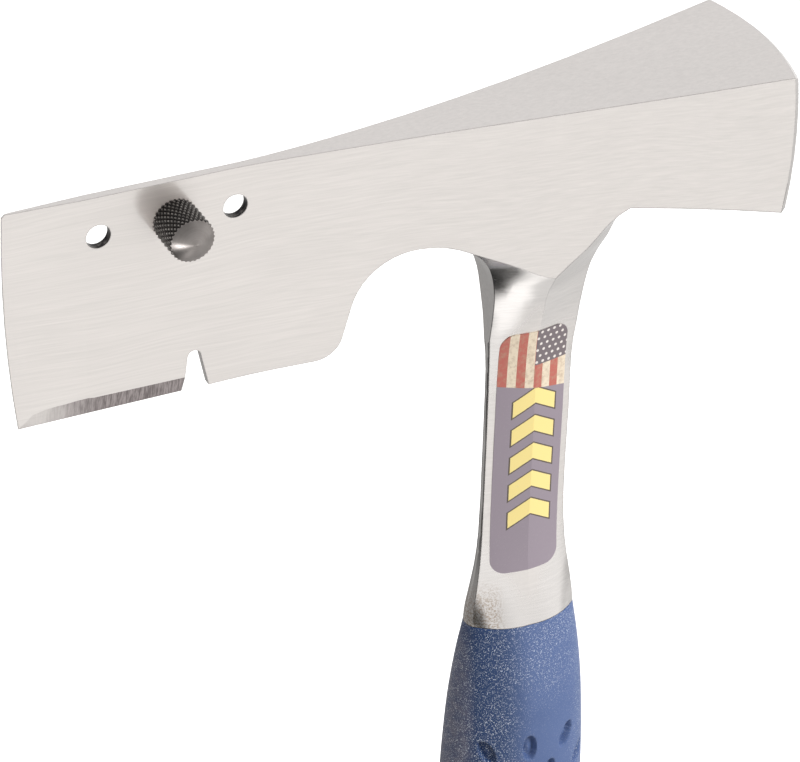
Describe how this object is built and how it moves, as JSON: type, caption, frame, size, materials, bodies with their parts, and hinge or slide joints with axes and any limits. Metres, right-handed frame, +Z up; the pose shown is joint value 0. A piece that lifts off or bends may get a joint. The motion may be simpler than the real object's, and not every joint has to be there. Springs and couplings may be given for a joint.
{
  "type": "roofing hatchet",
  "caption": "One-piece forged roofing hatchet: notched blade with a knurled shingle gauge, flared square striking face, waisted shank and moulded grip.",
  "frame": {"origin": "centre of the flat butt of the grip, on the handle's axis", "axes": "+Z up the handle to the head, +X towards the striking face, -X towards the blade, -Y the side of the gauge button, +Y the side of the thumb nut"},
  "size_m": [0.166, 0.0354, 0.3334],
  "materials": {
    "polished_steel": "fine ground steel with brushed lines along the head, brighter in the neck",
    "blue_grip": "moulded blue vinyl with a fine pale grain",
    "label_film": "printed film, satin, with plain stripes and dots",
    "black_steel": "black oxide, diamond knurled, with a turned end",
    "spring_steel": "plain spring steel"
  },
  "bodies": {
    "hatchet": {"head_forging": "polished_steel", "grip": "blue_grip", "label": "label_film"},
    "button": {"gauge_button": "black_steel"},
    "washer": {"lock_washer": "spring_steel"},
    "nut": {"thumb_nut": "black_steel"}
  },
  "joints": [
    {"name": "nut_backoff", "type": "slide", "parent": "hatchet", "child": "washer", "axis": [0, 1, 0], "range_m": [0, 0.00635]},
    {"name": "nut_turn", "type": "hinge", "parent": "washer", "child": "nut", "pos_m": [-0.0796, 0.0045, 0.3215], "axis": [0, 1, 0], "range_deg": [0, 2160]},
    {"name": "button_withdraw", "type": "slide", "parent": "hatchet", "child": "button", "axis": [0, -1, 0], "range_m": [0, 0.011]}
  ],
  "couplings": [
    {"joint": "nut_turn", "follows": "nut_backoff", "rad_per_m": 5936.8}
  ]
}
